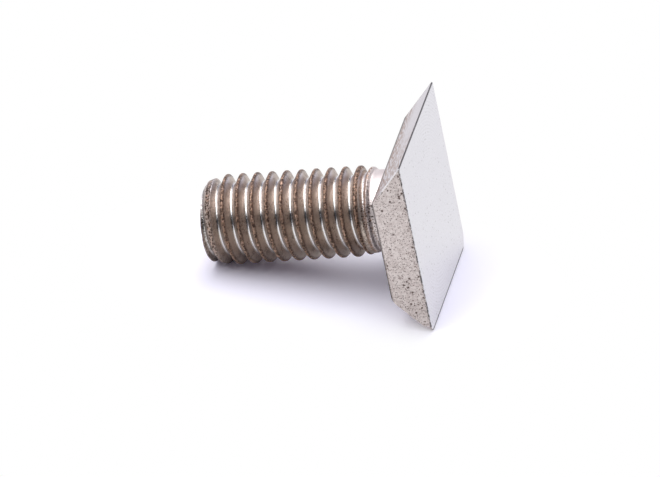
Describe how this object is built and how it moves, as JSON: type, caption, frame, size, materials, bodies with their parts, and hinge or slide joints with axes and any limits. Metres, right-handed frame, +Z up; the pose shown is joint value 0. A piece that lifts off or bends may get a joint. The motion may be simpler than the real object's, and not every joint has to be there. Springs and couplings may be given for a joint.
{
  "type": "dovetail head bolt",
  "caption": "Short threaded bolt with a square dovetail head, whose tapered sides slide in a slotted rail.",
  "frame": {"origin": "centre of the bounding box's base, on the surface that the bolt lies on", "axes": "+X from the tip of the thread towards the head, +Y along the head's lower edge, +Z up"},
  "size_m": [0.0166, 0.0116, 0.012],
  "materials": {
    "steel": "cold-formed stainless steel, satin and pitted on the head, polished on the thread with brown oxide in its flanks"
  },
  "bodies": {
    "root": {"bolt": "steel"}
  },
  "joints": []
}
